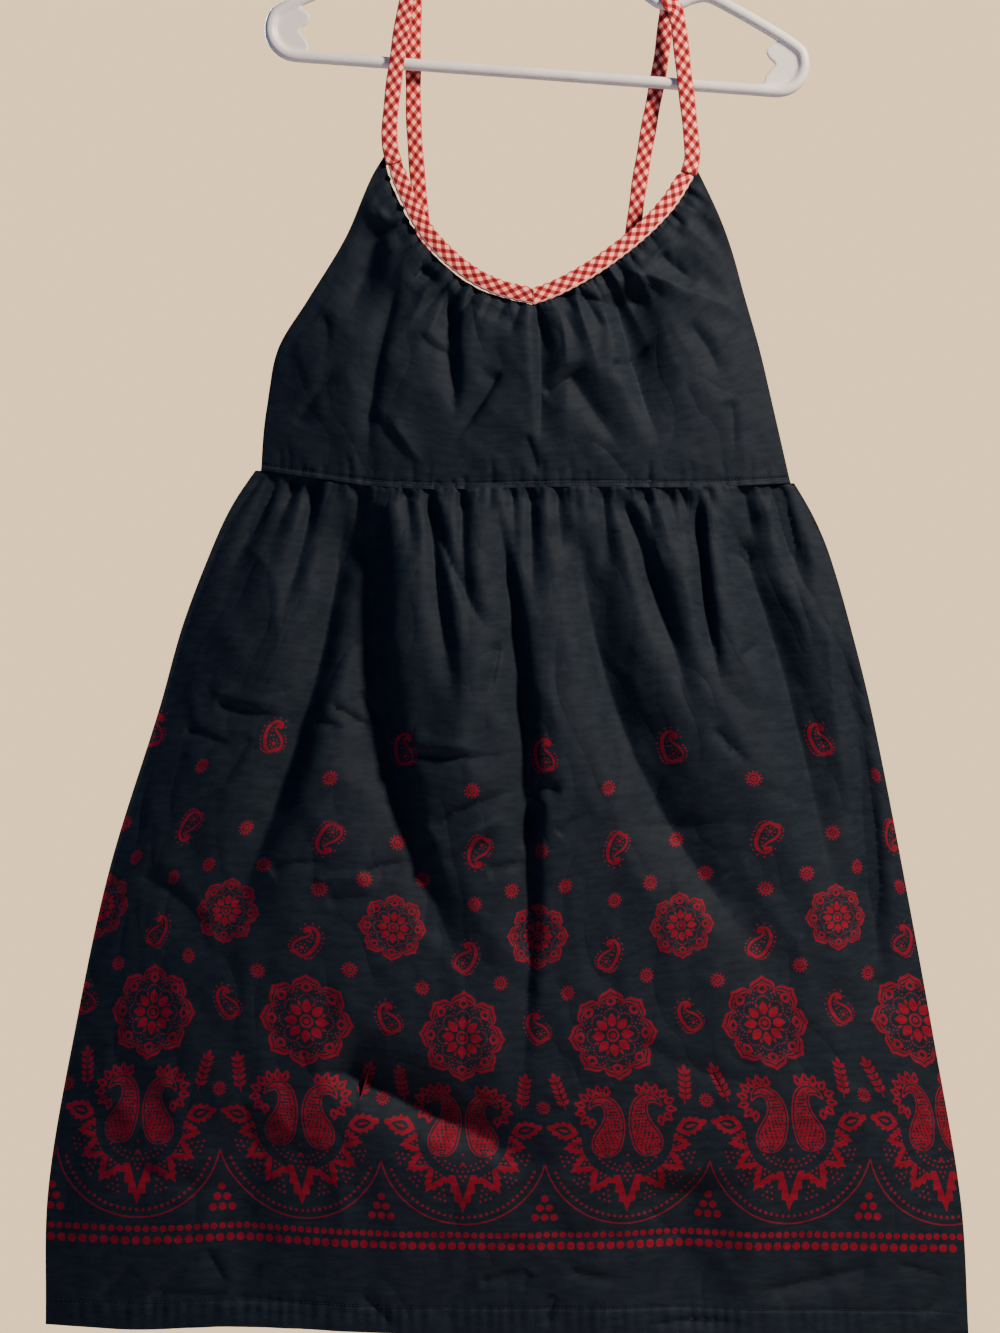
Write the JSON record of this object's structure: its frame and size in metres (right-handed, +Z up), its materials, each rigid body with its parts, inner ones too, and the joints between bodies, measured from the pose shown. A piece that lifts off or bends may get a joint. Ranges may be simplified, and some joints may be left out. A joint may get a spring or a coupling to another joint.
{
  "type": "sundress on hanger",
  "caption": "Knee-length cotton sundress with gathered bodice and skirt, bound scoop neck and thin straps, hanging on a tubular plastic hanger.",
  "frame": {"origin": "crown of the hanger's hook, on its inside, where a rail carries it", "axes": "+Z up, +X to the viewer's right, the front of the dress faces -Y"},
  "size_m": [0.72, 0.0938, 1.1699],
  "materials": {
    "cotton": "dark navy plain-weave cotton with a red border print",
    "gingham": "red and white gingham cut on the bias",
    "white_plastic": "smooth white moulded plastic"
  },
  "bodies": {
    "root": {"bodice_front": "cotton", "bodice_back": "cotton", "skirt_front": "cotton", "skirt_back": "cotton", "neck_binding": "gingham", "strap_left": "gingham", "strap_right": "gingham", "hanger_bar": "white_plastic", "hanger_arms": "white_plastic", "hanger_hook": "white_plastic", "hanger_web_left": "white_plastic", "hanger_web_right": "white_plastic"}
  },
  "joints": []
}
